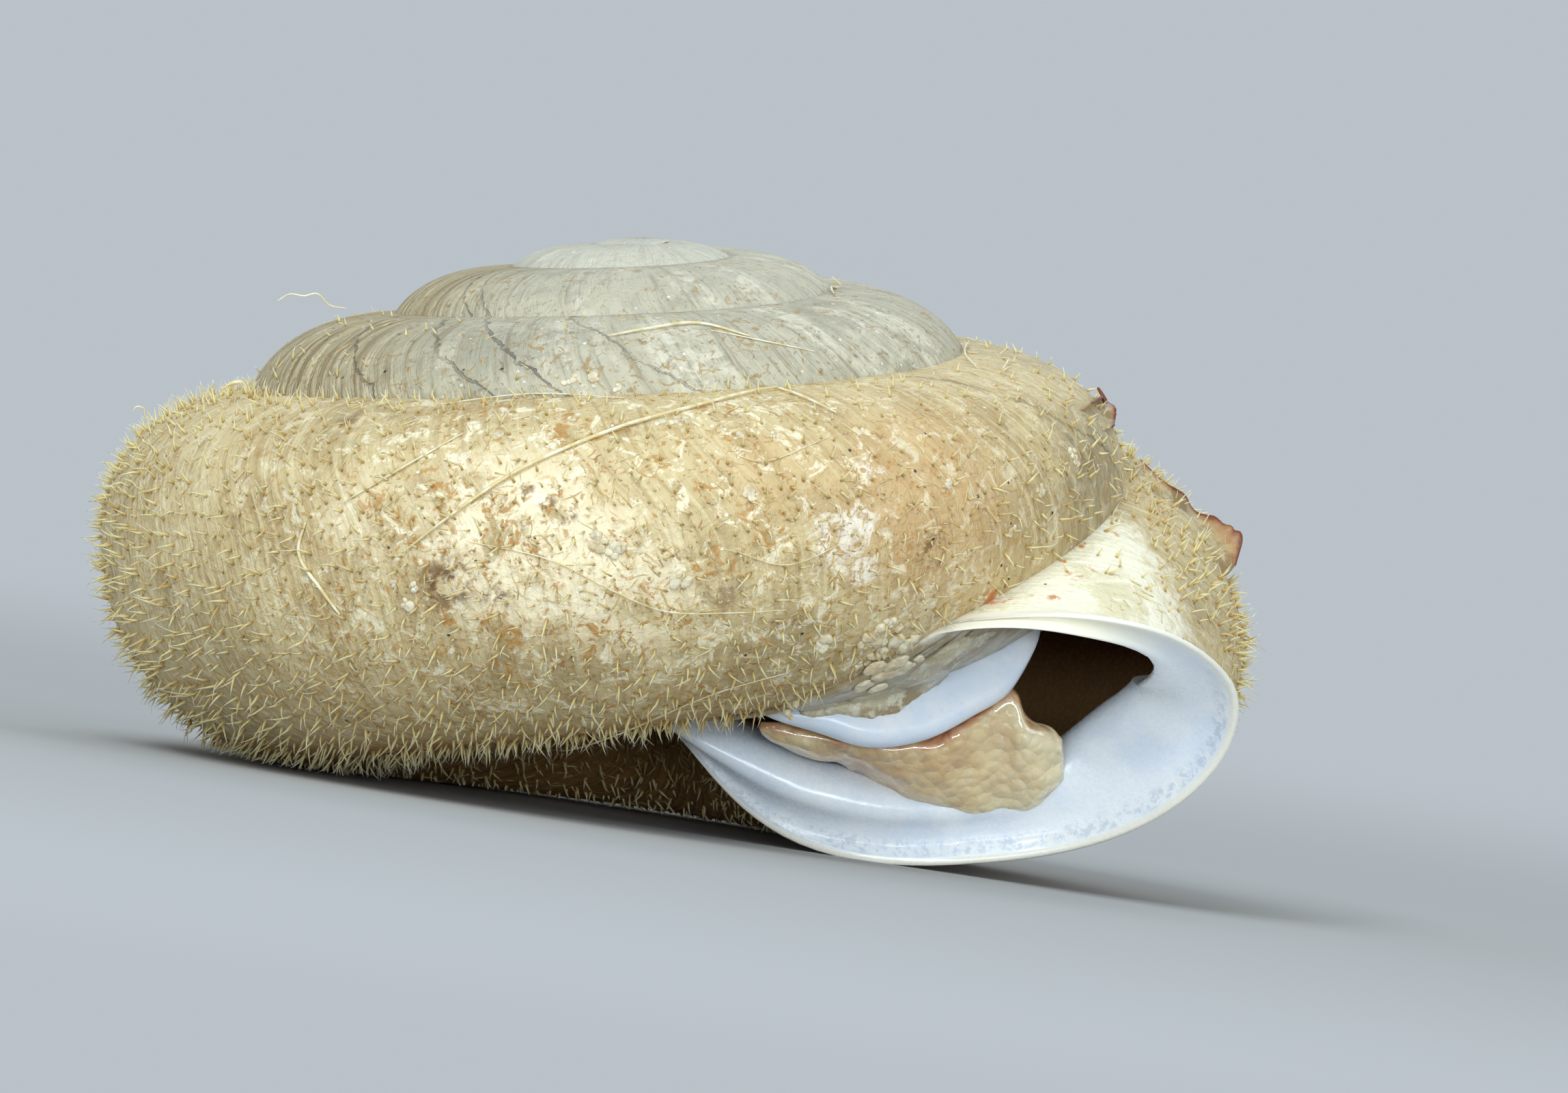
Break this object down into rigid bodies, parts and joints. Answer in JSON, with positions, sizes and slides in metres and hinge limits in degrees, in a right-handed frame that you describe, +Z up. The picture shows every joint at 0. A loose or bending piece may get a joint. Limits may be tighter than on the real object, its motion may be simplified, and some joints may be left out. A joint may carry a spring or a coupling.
{
  "type": "land snail shell",
  "caption": "Low hairy land snail shell with tight whorls, a white turned-back lip, a long curved tooth in the mouth and a scrap of dried tissue.",
  "frame": {"origin": "middle of the shell's bounding box, at the level it rests on", "axes": "+Z up with the shell lying mouth down on the foot of its lip; +X to the side the mouth is on; -Y towards someone looking into the mouth"},
  "size_m": [0.012, 0.0114, 0.0062],
  "materials": {
    "shell": "matte",
    "dried_tissue": "satin"
  },
  "bodies": {
    "root": {"shell": "shell", "dried_tissue": "dried_tissue"}
  },
  "joints": []
}
